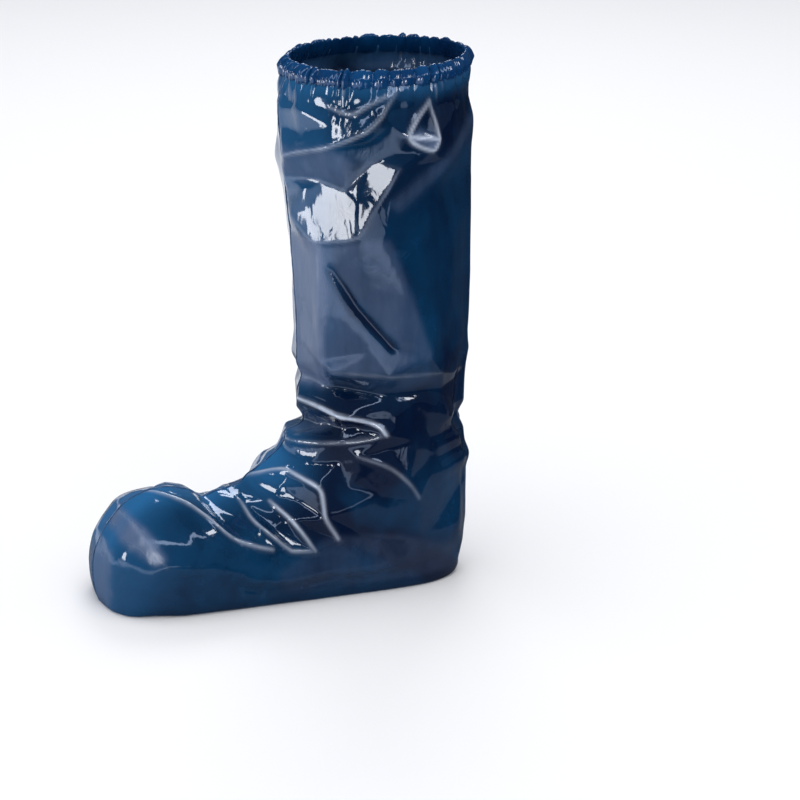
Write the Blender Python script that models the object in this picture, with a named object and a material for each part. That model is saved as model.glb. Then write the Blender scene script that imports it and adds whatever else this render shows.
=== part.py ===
"""A high shoe cover: a film boot with a gathered, elastic top.

Two boot-shaped film panels are welded together along one line, which runs
down the shin, over the toe, under the sole and up the heel to the top. The top
edge of the panels is bound by a gathered casing with an elastic in it.

Metres, Z up, the toe points to -Y. The origin is on the inner face of the sole.
"""

import math
from collections import namedtuple

import bmesh
import bpy
import numpy as np

# Driving sizes, in metres.
FOOT_LENGTH = 0.330
FOOT_WIDTH = 0.138
INSTEP_HEIGHT = 0.098
BOOT_HEIGHT = 0.440
LEG_DEPTH = 0.162
LEG_WIDTH = 0.158
WALL = 0.0012

# The weld lies between the panels and stands a little proud of them.
WELD_WIDTH = 0.0040
WELD_RISE = 0.0008
CLEARANCE = 0.0005

# The casing straddles the panels' top edge, with the elastic above that edge.
CASING_WALL = 0.0010
CASING_HEIGHT = 0.0150
CASING_OVERLAP = 0.0060
CASING_PUFF = 0.0018
CASING_LIFT = 0.0009
GATHERS = 24
ELASTIC_HEIGHT = 0.0050
ELASTIC_THICKNESS = 0.0012

# The casing's section: how far up its side, its shoulder and its inner corner lie, as shares
# of its height above that edge, the shoulder's shares of the puff and of the wall, and the
# share of the wall by which the inner face drops at the inner corner.
SIDE_UP = 0.35
SHOULDER_UP = 0.85
INNER_CORNER_UP = 0.80
SHOULDER_PUFF = 0.5
SHOULDER_WALL = 0.8
INNER_CORNER_DROP = 0.5

# Folds of the film: the height and half width of a fold whose share is 1, the share of its
# height that it keeps at its ends, and how quickly it reaches its full height from there.
FOLD_RISE = 0.0070
FOLD_HALF_WIDTH = 0.0130
FOLD_END_SHARE = 0.35
FOLD_TAPER_POWER = 0.7
FLUTE_DEPTH = 0.0040
FLUTE_LENGTH = 0.0700
FLUTES_PER_SIDE = 6
CENTRE_FADE = 0.0180
SOLE_FADE = 0.0160

# How finely the solids are faceted.
RINGS = 45
SIDE_SEGMENTS = 24
CASING_SEGMENTS = 4 * GATHERS
ELASTIC_SEGMENTS = 2 * GATHERS
ROUND_SAMPLES = 160
FILM_SHARP_ANGLE = 50
TRIM_SHARP_ANGLE = 40

HEEL_Y = FOOT_LENGTH / 2
SOLE_Z = -WALL
PANEL_EDGE_X = WELD_WIDTH / 2 + CLEARANCE

# Above this height the casing holds the film smooth.
HELD_Z = BOOT_HEIGHT - CASING_OVERLAP

# The leg's sections are ellipses, widest in the middle.
LEG_ROUND = 2.0
LEG_BELLY = 0.5

# How full the bulge of a section stays towards its ends.
BULGE_POWER = 0.8

# Sections of the leg, from the rim down. Heights of the front and back of a section are
# shares of the leg above the instep, its front and back are shares of LEG_DEPTH forward
# of the heel, and wide is a share of LEG_WIDTH.
LegSection = namedtuple("LegSection", "name front_up back_up front back wide")
LEG = [
    LegSection("rim",        1.000, 1.010, 0.950,  0.010, 0.92),
    LegSection("below_rim",  0.925, 0.945, 1.005, -0.015, 1.03),
    LegSection("calf",       0.820, 0.830, 0.985, -0.015, 1.03),
    LegSection("upper_shin", 0.640, 0.640, 0.955, -0.010, 0.98),
    LegSection("mid_shin",   0.440, 0.420, 0.930, -0.005, 0.93),
    LegSection("low_shin",   0.280, 0.230, 0.915,  0.005, 0.89),
    LegSection("ankle_top",  0.145, 0.070, 0.905,  0.010, 0.86),
]

# Sections of the foot, which fan round the heel to the toe. top and low are the ends of
# a section on the centre plane: y as shares of FOOT_LENGTH forward of the heel, z as
# shares of INSTEP_HEIGHT. wide is a share of FOOT_WIDTH, the round columns are the
# exponents of the section's upper and lower curve, belly is how far down its widest
# place lies, and bulge swells it forward by a share of FOOT_LENGTH.
FootSection = namedtuple(
    "FootSection", "name top_y top_z low_y low_z wide top_round low_round belly bulge")
FOOT = [
    FootSection("ankle",     0.470, 1.270, 0.002,  0.760, 0.96, 2.1, 2.2, 0.50, 0.000),
    FootSection("heel_back", 0.520, 1.130, 0.000,  0.420, 0.92, 2.1, 2.3, 0.52, 0.000),
    FootSection("heel_turn", 0.568, 1.030, 0.022,  0.060, 0.88, 2.1, 2.5, 0.55, 0.000),
    FootSection("heel_sole", 0.612, 0.950, 0.100, -0.120, 0.88, 2.1, 2.6, 0.60, 0.000),
    FootSection("arch",      0.655, 0.885, 0.250, -0.160, 0.89, 2.1, 2.6, 0.60, 0.000),
    FootSection("instep",    0.700, 0.875, 0.400, -0.160, 0.92, 2.1, 2.6, 0.60, 0.000),
    FootSection("ball_back", 0.750, 0.920, 0.540, -0.160, 0.96, 2.1, 2.6, 0.58, 0.000),
    FootSection("ball",      0.800, 0.950, 0.670, -0.160, 1.00, 2.2, 2.6, 0.56, 0.000),
    FootSection("toe_box",   0.850, 0.930, 0.780, -0.160, 1.00, 2.2, 2.6, 0.56, 0.004),
    FootSection("toe_front", 0.900, 0.870, 0.865, -0.150, 0.92, 2.2, 2.4, 0.54, 0.010),
    FootSection("toe_round", 0.942, 0.745, 0.930, -0.120, 0.76, 2.2, 2.6, 0.60, 0.014),
    FootSection("toe_nose",  0.970, 0.610, 0.962, -0.080, 0.50, 2.2, 2.4, 0.58, 0.016),
    FootSection("toe_tip",   0.984, 0.500, 0.980,  0.000, 0.00, 2.2, 2.2, 0.56, 0.015),
]

# Folds, each along a bowed line seen from the side. side is 1 for the side at +X, -1 for
# the side at -X and 0 for both, over the centre line. y is a share of FOOT_LENGTH forward
# of the heel and z of BOOT_HEIGHT. bow is a share of the line's own length. rise is a
# share of FOLD_RISE, below zero for a crease, and wide a share of FOLD_HALF_WIDTH.
Fold = namedtuple("Fold", "name side from_y from_z to_y to_z bow rise wide")
FOLDS = [
    Fold("rim_droop",       1, 0.410, 0.950, 0.270, 0.975,  0.10,  0.70, 0.80),
    Fold("rim_slant",       1, 0.260, 0.970, 0.480, 0.855,  0.08,  0.90, 0.90),
    Fold("rim_hollow",      1, 0.350, 0.930, 0.250, 0.870,  0.00, -0.80, 1.20),
    Fold("rim_drop",        1, 0.185, 0.940, 0.160, 0.860,  0.00,  0.70, 0.80),
    Fold("calf_slant",      1, 0.020, 0.900, 0.270, 0.775,  0.05,  0.80, 1.00),
    Fold("calf_hollow",     1, 0.450, 0.720, 0.320, 0.740,  0.00, -0.60, 1.40),
    Fold("shin_crease",     1, 0.420, 0.640, 0.255, 0.490,  0.06, -0.80, 1.10),
    Fold("shin_edge",       1, 0.425, 0.700, 0.415, 0.440,  0.00,  0.50, 0.90),
    Fold("ankle_roll",      1, 0.390, 0.440, 0.150, 0.430,  0.03,  0.80, 1.00),
    Fold("ankle_hollow",    1, 0.430, 0.398, 0.110, 0.390,  0.02, -1.00, 1.00),
    Fold("ankle_ridge",     1, 0.455, 0.362, 0.270, 0.325,  0.03,  1.30, 0.80),
    Fold("ankle_return",    1, 0.280, 0.318, 0.500, 0.262, -0.04,  0.80, 0.80),
    Fold("heel_crease",     1, 0.205, 0.377, 0.030, 0.195, -0.08, -0.80, 1.00),
    Fold("foot_crease",     1, 0.430, 0.285, 0.190, 0.185,  0.14, -0.90, 1.00),
    Fold("instep_arc",      1, 0.590, 0.222, 0.405, 0.122,  0.20,  0.90, 1.00),
    Fold("instep_inner",    1, 0.570, 0.195, 0.475, 0.105,  0.10, -0.50, 0.90),
    Fold("instep_outer",    1, 0.640, 0.180, 0.520, 0.080,  0.05,  0.60, 1.00),
    Fold("toe_slant",       1, 0.850, 0.205, 0.590, 0.112,  0.07,  0.80, 1.00),
    Fold("toe_round",       1, 0.925, 0.175, 0.860, 0.100,  0.05,  0.50, 1.00),

    Fold("shin_tuck",       0, 0.560, 0.415, 0.250, 0.405,  0.02, -0.60, 1.00),
    Fold("ankle_tuck",      0, 0.600, 0.318, 0.280, 0.345,  0.04, -0.90, 0.90),
    Fold("ankle_swell",     0, 0.620, 0.275, 0.400, 0.300,  0.02,  0.70, 0.90),
    Fold("instep_tuck",     0, 0.660, 0.235, 0.520, 0.190,  0.08, -0.50, 0.90),
    Fold("toe_tuck",        0, 0.720, 0.235, 0.660, 0.130,  0.05, -0.50, 0.90),
    Fold("heel_tuck",       0, -0.05, 0.330, 0.130, 0.300,  0.00, -0.70, 1.00),
    Fold("heel_swell",      0, -0.05, 0.250, 0.120, 0.225,  0.00,  0.50, 1.00),

    Fold("far_rim_slant",  -1, 0.090, 0.950, 0.330, 0.850,  0.06,  0.90, 1.00),
    Fold("far_rim_hollow", -1, 0.430, 0.900, 0.200, 0.800, -0.05, -0.80, 1.10),
    Fold("far_calf",       -1, 0.050, 0.790, 0.280, 0.690,  0.05,  0.80, 1.00),
    Fold("far_shin",       -1, 0.440, 0.730, 0.190, 0.570,  0.04, -0.90, 1.10),
    Fold("far_edge",       -1, 0.420, 0.610, 0.300, 0.450, -0.05,  0.80, 0.90),
    Fold("far_back",       -1, 0.040, 0.600, 0.220, 0.460,  0.05,  0.70, 1.00),
    Fold("far_ankle_roll", -1, 0.420, 0.425, 0.100, 0.445,  0.04, -0.90, 1.00),
    Fold("far_ankle",      -1, 0.440, 0.360, 0.160, 0.385,  0.05,  1.20, 0.90),
    Fold("far_return",     -1, 0.170, 0.350, 0.480, 0.290, -0.04, -0.80, 0.90),
    Fold("far_heel",       -1, 0.160, 0.330, 0.050, 0.170,  0.08,  0.80, 1.00),
    Fold("far_foot",       -1, 0.460, 0.260, 0.240, 0.130,  0.12,  0.90, 0.90),
    Fold("far_arc",        -1, 0.600, 0.210, 0.420, 0.090,  0.20, -0.90, 0.90),
    Fold("far_instep",     -1, 0.650, 0.180, 0.500, 0.080,  0.10,  0.90, 0.90),
    Fold("far_toe",        -1, 0.860, 0.190, 0.640, 0.090,  0.08, -0.60, 1.00),
]


def clear_scene():
    for obj in list(bpy.data.objects):
        bpy.data.objects.remove(obj, do_unlink=True)


def film_material(name, colour, roughness):
    material = bpy.data.materials.new(name)
    material.use_nodes = True
    shader = material.node_tree.nodes["Principled BSDF"]
    shader.inputs["Base Color"].default_value = (*colour, 1.0)
    shader.inputs["Roughness"].default_value = roughness
    shader.inputs["Metallic"].default_value = 0.0
    return material


def smoothstep(value):
    share = np.clip(value, 0.0, 1.0)
    return share * share * (3 - 2 * share)


def section_rows():
    """Every section in metres: front y, z, back y, z, half width, two rounds, belly, bulge."""
    leg_height = BOOT_HEIGHT - INSTEP_HEIGHT
    rows = []
    for s in LEG:
        rows.append((HEEL_Y - LEG_DEPTH * s.front, INSTEP_HEIGHT + leg_height * s.front_up,
                     HEEL_Y - LEG_DEPTH * s.back, INSTEP_HEIGHT + leg_height * s.back_up,
                     LEG_WIDTH / 2 * s.wide, LEG_ROUND, LEG_ROUND, LEG_BELLY, 0.0))
    for s in FOOT:
        rows.append((HEEL_Y - FOOT_LENGTH * s.top_y, INSTEP_HEIGHT * s.top_z,
                     HEEL_Y - FOOT_LENGTH * s.low_y, SOLE_Z + INSTEP_HEIGHT * s.low_z,
                     FOOT_WIDTH / 2 * s.wide, s.top_round, s.low_round, s.belly,
                     FOOT_LENGTH * s.bulge))
    return np.array(rows)


def smooth_columns(at, values, stations):
    """Monotone cubic interpolation of each column, so that no section overshoots."""
    step = np.diff(at)
    rise = np.diff(values, axis=0) / step[:, None]
    slope = np.zeros_like(values)
    slope[0] = rise[0]
    slope[-1] = rise[-1]
    same_way = rise[:-1] * rise[1:] > 0
    before = (2 * step[1:] + step[:-1])[:, None]
    after = (step[1:] + 2 * step[:-1])[:, None]
    rise_before = np.where(same_way, rise[:-1], 1.0)
    rise_after = np.where(same_way, rise[1:], 1.0)
    mean = (before + after) / (before / rise_before + after / rise_after)
    slope[1:-1] = np.where(same_way, mean, 0.0)
    k = np.clip(np.searchsorted(at, stations, side="right") - 1, 0, len(step) - 1)
    span = step[k][:, None]
    t = (stations - at[k])[:, None] / span
    return (values[k] * (1 + 2 * t) * (1 - t) ** 2 + slope[k] * span * t * (1 - t) ** 2
            + values[k + 1] * t * t * (3 - 2 * t) + slope[k + 1] * span * t * t * (t - 1))


def spaced(points, count):
    """count points at even distances along a polyline."""
    lengths = np.linalg.norm(np.diff(points, axis=0), axis=1)
    distance = np.concatenate([[0.0], np.cumsum(lengths)])
    at = np.linspace(0.0, distance[-1], count)
    return np.stack([np.interp(at, distance, points[:, i]) for i in range(3)], axis=1)


def half_section(row, count):
    """Half a section, from the centre plane in front round x > 0 to the centre plane behind."""
    front_y, front_z, back_y, back_z, half_width, upper_round, lower_round, belly, bulge = row
    angle = np.linspace(0.0, math.pi, ROUND_SAMPLES)
    upper = angle <= math.pi / 2
    power = 2 / np.where(upper, upper_round, lower_round)
    cosine = np.abs(np.cos(angle)) ** power
    down = np.where(upper, belly * (1 - cosine), belly + (1 - belly) * cosine)
    swell = bulge * (4 * down * (1 - down)) ** BULGE_POWER
    x = half_width * np.abs(np.sin(angle)) ** power
    y = front_y + (back_y - front_y) * down - swell
    z = np.maximum(front_z + (back_z - front_z) * down, SOLE_Z)
    return spaced(np.stack([x, y, z], axis=1), count)


def half_shell():
    """The smooth outer face at x >= 0: rings from the rim to the toe, points front to back."""
    rows = section_rows()
    front_step = np.linalg.norm(np.diff(rows[:, 0:2], axis=0), axis=1)
    back_step = np.linalg.norm(np.diff(rows[:, 2:4], axis=0), axis=1)
    width_step = np.abs(np.diff(rows[:, 4]))
    step = np.maximum(np.maximum(front_step, back_step), width_step)
    at = np.concatenate([[0.0], np.cumsum(step)])
    stations = np.linspace(0.0, at[-1], RINGS)
    sections = smooth_columns(at, rows, stations)
    return np.stack([half_section(row, SIDE_SEGMENTS + 1) for row in sections])


def shell_normals(shell):
    """Outward normals, which stay in the centre plane where the shell meets it."""
    normals = np.cross(np.gradient(shell, axis=0), np.gradient(shell, axis=1))
    if normals[RINGS // 4, SIDE_SEGMENTS // 2, 0] < 0:
        normals = -normals
    normals[:, 0, 0] = 0.0
    normals[:, -1, 0] = 0.0
    normals[-1, :, 0] = 0.0
    for end, beside in ((0, 1), (-1, -2)):
        normals[-1, end] = normals[-1, beside] + normals[-2, end]
    return normals / np.linalg.norm(normals, axis=2)[..., None]


def fold_height(fold, y, z):
    """How high one fold stands at places seen from the side, faded at its ends."""
    start = np.array([HEEL_Y - FOOT_LENGTH * fold.from_y, BOOT_HEIGHT * fold.from_z])
    end = np.array([HEEL_Y - FOOT_LENGTH * fold.to_y, BOOT_HEIGHT * fold.to_z])
    length = np.linalg.norm(end - start)
    along = (end - start) / length
    share = ((y - start[0]) * along[0] + (z - start[1]) * along[1]) / length
    aside = (y - start[0]) * along[1] - (z - start[1]) * along[0]
    held = np.clip(share, 0.0, 1.0)
    aside = aside - fold.bow * length * 4 * held * (1 - held)
    past_end = (share - held) * length
    half_width = FOLD_HALF_WIDTH * fold.wide
    distance = np.hypot(aside, past_end) / half_width
    middle = np.sin(math.pi * held) ** FOLD_TAPER_POWER
    taper = FOLD_END_SHARE + (1 - FOLD_END_SHARE) * middle
    return FOLD_RISE * fold.rise * taper * (1 - smoothstep(distance))


def film_displacement(shell, side):
    """Folds and the flutes under the casing, as a height along the normal."""
    x = shell[..., 0]
    y = shell[..., 1]
    z = shell[..., 2]
    own = np.zeros_like(x)
    shared = np.zeros_like(x)
    for fold in FOLDS:
        if fold.side == 0:
            shared += fold_height(fold, y, z)
        elif fold.side == side:
            own += fold_height(fold, y, z)
    below = (HELD_Z - z) / FLUTE_LENGTH
    window = np.where((below > 0) & (below < 1), np.sin(math.pi * np.clip(below, 0, 1)), 0.0)
    round_share = np.linspace(0.0, 1.0, SIDE_SEGMENTS + 1)[None, :]
    wave = (1 - np.cos(2 * math.pi * FLUTES_PER_SIDE * round_share)) / 2
    height = shared + own * smoothstep(x / CENTRE_FADE) - FLUTE_DEPTH * wave * window
    loose = smoothstep((z - SOLE_Z) / SOLE_FADE) * smoothstep((HELD_Z - z) / SOLE_FADE)
    return height * loose


def folded_shell(side):
    """The outer face of one side at x >= 0, with its folds, still reaching the centre plane."""
    shell = half_shell()
    folded = shell + shell_normals(shell) * film_displacement(shell, side)[..., None]
    folded[..., 2] = np.maximum(folded[..., 2], SOLE_Z)
    return folded


def panel_face(side):
    """The outer face of a panel, which stops beside the weld."""
    face = folded_shell(side)
    squeeze = 1 - PANEL_EDGE_X / (FOOT_WIDTH / 2)
    face[..., 0] = side * (PANEL_EDGE_X + face[..., 0] * squeeze)
    return face


def add_object(name, vertices, faces, material):
    mesh = bpy.data.meshes.new(name)
    mesh.from_pydata([tuple(v) for v in vertices], [], faces)
    mesh.materials.append(material)
    work = bmesh.new()
    work.from_mesh(mesh)
    bmesh.ops.recalc_face_normals(work, faces=work.faces)
    work.to_mesh(mesh)
    work.free()
    mesh.shade_smooth()
    mesh.set_sharp_from_angle(angle=math.radians(TRIM_SHARP_ANGLE))
    obj = bpy.data.objects.new(name, mesh)
    bpy.context.scene.collection.objects.link(obj)
    return obj


def grid_faces(rows, columns, close_rows=False, close_columns=False):
    """Quads over a grid of points that are numbered row by row."""
    faces = []
    for i in range(rows if close_rows else rows - 1):
        for j in range(columns if close_columns else columns - 1):
            a = i * columns + j
            b = i * columns + (j + 1) % columns
            c = (i + 1) % rows * columns + (j + 1) % columns
            d = (i + 1) % rows * columns + j
            faces.append((a, b, c, d))
    return faces


def make_panel(name, side, material):
    """A film panel: its outer face, made a wall that grows inwards."""
    face = panel_face(side)
    faces = grid_faces(RINGS, SIDE_SEGMENTS + 1)
    mesh = bpy.data.meshes.new(name)
    mesh.from_pydata([tuple(v) for v in face.reshape(-1, 3)], [], faces)
    mesh.materials.append(material)
    if sum(polygon.normal.x for polygon in mesh.polygons) * side < 0:
        mesh.flip_normals()
    mesh.shade_smooth()
    mesh.set_sharp_from_angle(angle=math.radians(FILM_SHARP_ANGLE))
    obj = bpy.data.objects.new(name, mesh)
    bpy.context.scene.collection.objects.link(obj)
    wall = obj.modifiers.new("film wall", "SOLIDIFY")
    wall.thickness = WALL
    wall.offset = -1.0
    wall.use_rim = True
    return obj


def weld_line():
    """The closed edge of the cover in the centre plane, from the front rim to the back rim."""
    shell = folded_shell(1)
    down_front = shell[:, 0]
    round_toe = shell[-1, 1:-1]
    up_back = shell[::-1, -1]
    line = np.concatenate([down_front, round_toe, up_back])
    line[:, 0] = 0.0
    under_casing = CASING_OVERLAP + CLEARANCE
    first = line[0] + (line[1] - line[0]) * under_casing / np.linalg.norm(line[1] - line[0])
    last = line[-1] + (line[-2] - line[-1]) * under_casing / np.linalg.norm(line[-2] - line[-1])
    return np.concatenate([line[:1], [first], line[1:-1], [last], line[-1:]])


def make_weld(name, material):
    """The welded edge: a flat ribbon swept along the weld line."""
    line = weld_line()
    tangent = np.gradient(line, axis=0)
    tangent /= np.linalg.norm(tangent, axis=1)[:, None]
    outward = np.stack([np.zeros(len(line)), -tangent[:, 2], tangent[:, 1]], axis=1)
    if outward[1, 1] > 0:
        outward = -outward
    rise = WELD_RISE * smoothstep((line[:, 2] - SOLE_Z) / SOLE_FADE)
    rise[:2] = 0.0
    rise[-2:] = 0.0
    half = np.array([WELD_WIDTH / 2, 0.0, 0.0])
    outer = line + outward * rise[:, None]
    inner = line - outward * WALL
    ring = np.stack([outer - half, outer + half, inner + half, inner - half], axis=1)
    count = len(line)
    faces = grid_faces(count, 4, close_columns=True)
    faces.append((0, 1, 2, 3))
    faces.append((4 * count - 4, 4 * count - 3, 4 * count - 2, 4 * count - 1))
    return add_object(name, ring.reshape(-1, 3), faces, material)


def rim_frames(count):
    """Points round the middle of the panels' top edge, each with its out and up.

    The two loops are the panels' own top rings, read at the same places, so that what is
    built on the frames keeps its distance from the panels' walls.
    """
    near = panel_face(1)
    far = panel_face(-1)
    loops = []
    for ring in (0, 1):
        loop = np.concatenate([near[ring], far[ring][::-1], near[ring][:1]])
        places = np.linspace(0, len(loop) - 1, count + 1)[:-1]
        loops.append(np.stack([np.interp(places, range(len(loop)), loop[:, i]) for i in range(3)],
                              axis=1))
    edge, lower = loops
    up = edge - lower
    up /= np.linalg.norm(up, axis=1)[:, None]
    tangent = np.roll(edge, -1, axis=0) - np.roll(edge, 1, axis=0)
    out = np.cross(tangent, up)
    out /= np.linalg.norm(out, axis=1)[:, None]
    centre = edge.mean(axis=0)
    if (out[0] * (edge[0] - centre)).sum() < 0:
        out = -out
    return edge - out * WALL / 2, out, up


def casing_profile(puff, lift):
    """Half the casing's section, outer side then inner side, as (out, up) pairs."""
    cavity = WALL / 2 + CLEARANCE
    top = CASING_HEIGHT - CASING_OVERLAP + lift
    wall = CASING_WALL
    shoulder = puff * SHOULDER_PUFF
    outer = [
        (cavity + wall, -CASING_OVERLAP),
        (cavity + wall + puff, top * SIDE_UP),
        (cavity + wall * SHOULDER_WALL + shoulder, top * SHOULDER_UP),
        (0.0, top),
        (-cavity - wall, top * INNER_CORNER_UP),
        (-cavity - wall, -CASING_OVERLAP),
    ]
    inner = [
        (-cavity, -CASING_OVERLAP),
        (-cavity, top * INNER_CORNER_UP - wall * INNER_CORNER_DROP),
        (0.0, top - wall),
        (cavity + shoulder - wall * (1 - SHOULDER_WALL), top * SHOULDER_UP - wall),
        (cavity + puff, top * SIDE_UP),
        (cavity, -CASING_OVERLAP),
    ]
    return outer + inner


def make_casing(name, material):
    """The gathered casing: an arched band over the panels' top edge, open below."""
    edge, out, up = rim_frames(CASING_SEGMENTS)
    points = []
    for i in range(CASING_SEGMENTS):
        wave = (1 - math.cos(2 * math.pi * i * GATHERS / CASING_SEGMENTS)) / 2
        for across, height in casing_profile(CASING_PUFF * wave, CASING_LIFT * wave):
            points.append(edge[i] + out[i] * across + up[i] * height)
    per_section = len(points) // CASING_SEGMENTS
    faces = grid_faces(CASING_SEGMENTS, per_section, close_rows=True, close_columns=True)
    return add_object(name, points, faces, material)


def make_elastic(name, material):
    """The elastic: a flat band inside the casing, just above the panels' top edge."""
    edge, out, up = rim_frames(ELASTIC_SEGMENTS)
    half = ELASTIC_THICKNESS / 2
    low = CLEARANCE
    high = CLEARANCE + ELASTIC_HEIGHT
    points = []
    for i in range(ELASTIC_SEGMENTS):
        for across, height in ((half, low), (half, high), (-half, high), (-half, low)):
            points.append(edge[i] + out[i] * across + up[i] * height)
    faces = grid_faces(ELASTIC_SEGMENTS, 4, close_rows=True, close_columns=True)
    return add_object(name, points, faces, material)


def main():
    clear_scene()
    film = film_material("film", (0.010, 0.060, 0.230), 0.12)
    weld = film_material("weld film", (0.008, 0.045, 0.180), 0.15)
    casing = film_material("casing film", (0.015, 0.085, 0.300), 0.16)
    elastic = film_material("elastic", (0.070, 0.190, 0.420), 0.80)
    make_panel("right_panel", 1, film)
    make_panel("left_panel", -1, film)
    make_weld("edge_weld", weld)
    make_casing("hem_casing", casing)
    make_elastic("elastic", elastic)


main()
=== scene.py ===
"""Looks of a high shoe cover: crumpled blue film, its welded edge and its gathered top."""
import math
from collections import namedtuple
from functools import lru_cache

import bpy
import numpy as np
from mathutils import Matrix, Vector
from mathutils.geometry import delaunay_2d_cdt
from mathutils.kdtree import KDTree


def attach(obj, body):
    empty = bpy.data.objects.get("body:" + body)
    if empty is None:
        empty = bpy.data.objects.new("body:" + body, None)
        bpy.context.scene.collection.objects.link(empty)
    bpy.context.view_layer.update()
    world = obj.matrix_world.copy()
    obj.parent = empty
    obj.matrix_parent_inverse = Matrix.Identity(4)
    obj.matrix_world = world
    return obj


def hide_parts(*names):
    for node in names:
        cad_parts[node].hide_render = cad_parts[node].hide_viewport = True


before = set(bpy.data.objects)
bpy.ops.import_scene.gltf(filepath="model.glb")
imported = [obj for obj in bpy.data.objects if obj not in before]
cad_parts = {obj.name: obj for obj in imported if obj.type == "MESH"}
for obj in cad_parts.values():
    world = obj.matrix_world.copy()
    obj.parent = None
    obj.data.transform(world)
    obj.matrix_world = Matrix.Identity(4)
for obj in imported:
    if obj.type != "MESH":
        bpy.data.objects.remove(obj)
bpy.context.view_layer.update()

# Driving sizes of the cover, in metres, as in the CAD source.
FOOT_LENGTH = 0.330
FOOT_WIDTH = 0.138
INSTEP_HEIGHT = 0.098
BOOT_HEIGHT = 0.440
LEG_DEPTH = 0.162
LEG_WIDTH = 0.158
WALL = 0.0012
CASING_OVERLAP = 0.0060
CASING_HEIGHT = 0.0150
ELASTIC_HEIGHT = 0.0050
HEEL_Y = FOOT_LENGTH / 2
SOLE_Z = -WALL
RIM_HELD_Z = BOOT_HEIGHT - CASING_OVERLAP

# The film as it is made here, and where its folds and facets fade out.
FILM_THICKNESS = 0.0004
EDGE_GAP = 0.0003
FOLD_RISE = 0.0070
FOLD_HALF_WIDTH = 0.0130
FOLD_END_SHARE = 0.35
FOLD_TAPER_POWER = 0.7
CENTRE_FADE = 0.0070
SOLE_FADE = 0.0240
RIM_FADE = 0.0200
HELD_ABOVE = 0.0040

# How finely the film is divided, and the places that a section is drawn through.
RINGS = 360
SIDE_SEGMENTS = 130
ROUND_SAMPLES = 400

# The roundness of the leg's sections, where they are widest, and the power of the toe's bulge.
LEG_ROUND = 2.0
LEG_BELLY = 0.5
BULGE_POWER = 0.8

# How far a flat facet may leave the round shell, and how flat each side's facets are.
MOST_FLATTENED = 0.0080
NEAR_FLATNESS = 1.0
FAR_FLATNESS = 0.75
TOE_FLATNESS = 0.25

# Slack for places on the edge of a facet, and the smallest facet that is filled.
MERGED_WITHIN = 1e-7
BOX_SLACK = 1e-6
EDGE_SLACK = 1e-5
SMALLEST_FACET = 1e-12

# Corners in lines along the weld, where they are closest, and beside it.
BORDER_SHARES = (0.0, 0.13, 0.87, 1.0)
BORDER_SCATTER = 0.3
NEAR_BORDER_SPACING = 0.030
CLOSEST_BORDER = 0.020
BORDER_CLEARANCE = 5
NEAR_BORDER_SEED = 3
BORDER_SEEDS_FROM = 100

# Scattered facets: how far their corners stray, how high the crumples of the near side's
# back and of the far side and its leg are, and how often heights are softened.
FACET_SCATTER = 0.42
BACK_CRUMPLE = 2.2
FAR_CRUMPLE = 1.4
FAR_LEG_CRUMPLE = 1.5
CRISP_PASSES = 2
SOFT_PASSES = 9
HAZE_PASSES = 6

# The crests along creases, and the pale lines along them, which are partly stress whitening and
# partly painted highlight.
PINCH_HALF_WIDTH = 0.0028
PALE_HALF_WIDTH = 0.0016
CREASE_END_SHARE = 0.45
CREASE_TAPER_POWER = 0.6

# How sharply film is bent, in 1/m, where it starts to be painted pale and where it is palest:
# partly stress whitening, partly painted highlight on ridges.
PALE_FROM = 110.0
PALE_FULL = 420.0
BEND_PALE = 0.5

# The gathers below the casing, the puckers beside the weld and the lean of the leg.
GATHER_DEPTH = 0.0040
GATHER_REACH = 0.055
GATHER_LEVEL = 0.45
GATHER_FALL_POWER = 1.2
LOBE_POWER = 0.75
SEAM_RIPPLE = 0.0013
SEAM_REACH = 0.020
SEAM_PUCKERS = 200
PUCKER_WINDOW = 7
SWAY = 0.0030
SWAY_TURNS = 27.0

# The weld's fin, the casing and the elastic.
FIN_RISE = 0.0005
FIN_ROOT = 0.0012
FIN_THICKNESS = 0.0006
CASING_STATIONS = 900
CASING_WALL = 0.0004
CASING_TURNS = 16
ELASTIC_STATIONS = 640
ELASTIC_HALF = 0.0006
ELASTIC_LOW = 0.0004
ELASTIC_ROWS = 9
RIB_DEPTH = 0.00012
THREAD_DEPTH = 0.0001

# How far the clinging film darkens, and how much haze and painted sheen the far side gets.
CLINGING_DARKENS = 0.92
FAR_HAZE = 0.30
HAZE_BLURS = 0.30

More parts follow.
